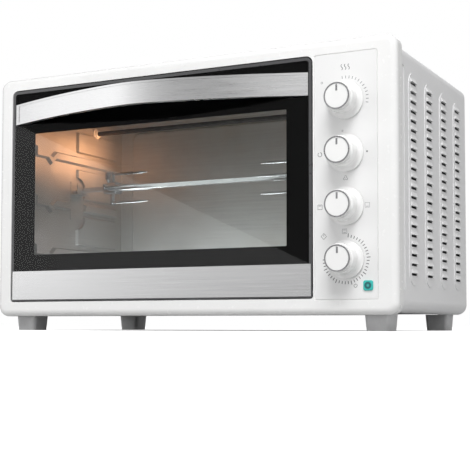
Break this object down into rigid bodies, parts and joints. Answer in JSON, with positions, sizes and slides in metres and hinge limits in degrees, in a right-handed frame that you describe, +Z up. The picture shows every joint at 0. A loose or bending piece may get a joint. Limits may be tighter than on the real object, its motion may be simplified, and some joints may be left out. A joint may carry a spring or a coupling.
{
  "type": "rotisserie oven",
  "caption": "Countertop rotisserie oven: louvred steel casing, drop-down glass door with a bowed steel handle, column of control knobs, turning spit with forks and tubular heating elements.",
  "frame": {"origin": "centre of the footprint of the whole object, handle and gland included, at table height", "axes": "+X to the right seen from the front, the front faces -Y, +Z up"},
  "size_m": [0.55, 0.351, 0.331],
  "materials": {
    "moulded_white": "gloss",
    "fascia_white": "gloss",
    "casing_paint": "satin",
    "galvanised_sheet": "satin",
    "brushed_steel": "brushed",
    "door_paint": "satin",
    "black_print": "gloss",
    "clear_glass": "gloss",
    "cavity_steel": "satin",
    "heater_sheath": "matte",
    "bush_white": "matte",
    "knob_white": "gloss",
    "knob_trim_grey": "satin",
    "shaft_steel": "satin",
    "spit_steel": "gloss",
    "switch_black": "matte",
    "motor_steel": "satin",
    "lens_teal": "gloss",
    "lamp_glass": "gloss",
    "foot_grey": "matte",
    "gland_black": "matte",
    "screw_steel": "satin"
  },
  "bodies": {
    "oven_body": {"front_frame": "moulded_white", "control_fascia": "fascia_white", "front_plate": "galvanised_sheet", "switch_plate": "galvanised_sheet", "outer_casing": "casing_paint", "base_plate": "galvanised_sheet", "rear_panel": "galvanised_sheet", "cord_gland": "gland_black", "rear_screws": "screw_steel", "feet": "foot_grey", "foot_screws": "screw_steel", "cavity_left_wall": "cavity_steel", "cavity_right_wall": "cavity_steel", "cavity_back_wall": "cavity_steel", "cavity_ceiling": "cavity_steel", "cavity_floor": "cavity_steel", "upper_heater_front": "heater_sheath", "upper_heater_rear": "heater_sheath", "lower_heater_front": "heater_sheath", "lower_heater_rear": "heater_sheath", "heater_bushes": "bush_white", "spit_bracket": "spit_steel", "rotisserie_motor": "motor_steel", "lamp_glass": "lamp_glass", "lamp_holder": "bush_white", "lamp_bulb": "lamp_glass", "thermostat": "switch_black", "heating_switch": "switch_black", "rotisserie_switch": "switch_black", "timer_body": "motor_steel", "pilot_lens": "lens_teal", "pilot_lamp": "lamp_glass", "terminal_block": "bush_white"},
    "door": {"door_frame": "door_paint", "door_inner_panel": "cavity_steel", "door_glass": "clear_glass", "door_glass_print": "black_print", "door_bottom_trim": "brushed_steel", "hinge_pins": "shaft_steel", "door_check_arms": "shaft_steel", "handle_bar": "brushed_steel"},
    "spit": {"spit_rod": "spit_steel", "drive_coupler": "shaft_steel", "fork_left": "spit_steel", "fork_right": "spit_steel", "fork_screws": "spit_steel"},
    "timer_knob": {"knob_timer": "knob_white", "knob_timer_trim": "knob_trim_grey", "timer_shaft": "shaft_steel"},
    "heating_knob": {"knob_heating": "knob_white", "knob_heating_trim": "knob_trim_grey", "heating_shaft": "shaft_steel"},
    "rotisserie_knob": {"knob_rotisserie": "knob_white", "knob_rotisserie_trim": "knob_trim_grey", "rotisserie_shaft": "shaft_steel"},
    "temperature_knob": {"knob_temperature": "knob_white", "knob_temperature_trim": "knob_trim_grey", "temperature_shaft": "shaft_steel"}
  },
  "joints": [
    {"name": "door_hinge", "type": "hinge", "parent": "oven_body", "child": "door", "pos_m": [0, -0.1209, 0.0439], "axis": [1, 0, 0], "range_deg": [0, 85]},
    {"name": "spit_turn", "type": "hinge", "parent": "oven_body", "child": "spit", "pos_m": [0, 0.0075, 0.197], "axis": [1, 0, 0], "continuous": true},
    {"name": "timer_turn", "type": "hinge", "parent": "oven_body", "child": "timer_knob", "pos_m": [0.2149, -0.1245, 0.08021], "axis": [0, 1, 0], "range_deg": [0, 300]},
    {"name": "heating_turn", "type": "hinge", "parent": "oven_body", "child": "heating_knob", "pos_m": [0.2149, -0.1245, 0.14012], "axis": [0, 1, 0], "range_deg": [0, 270]},
    {"name": "rotisserie_turn", "type": "hinge", "parent": "oven_body", "child": "rotisserie_knob", "pos_m": [0.2149, -0.1245, 0.20002], "axis": [0, 1, 0], "range_deg": [0, 270]},
    {"name": "temperature_turn", "type": "hinge", "parent": "oven_body", "child": "temperature_knob", "pos_m": [0.2149, -0.1245, 0.25993], "axis": [0, 1, 0], "range_deg": [0, 270]}
  ]
}
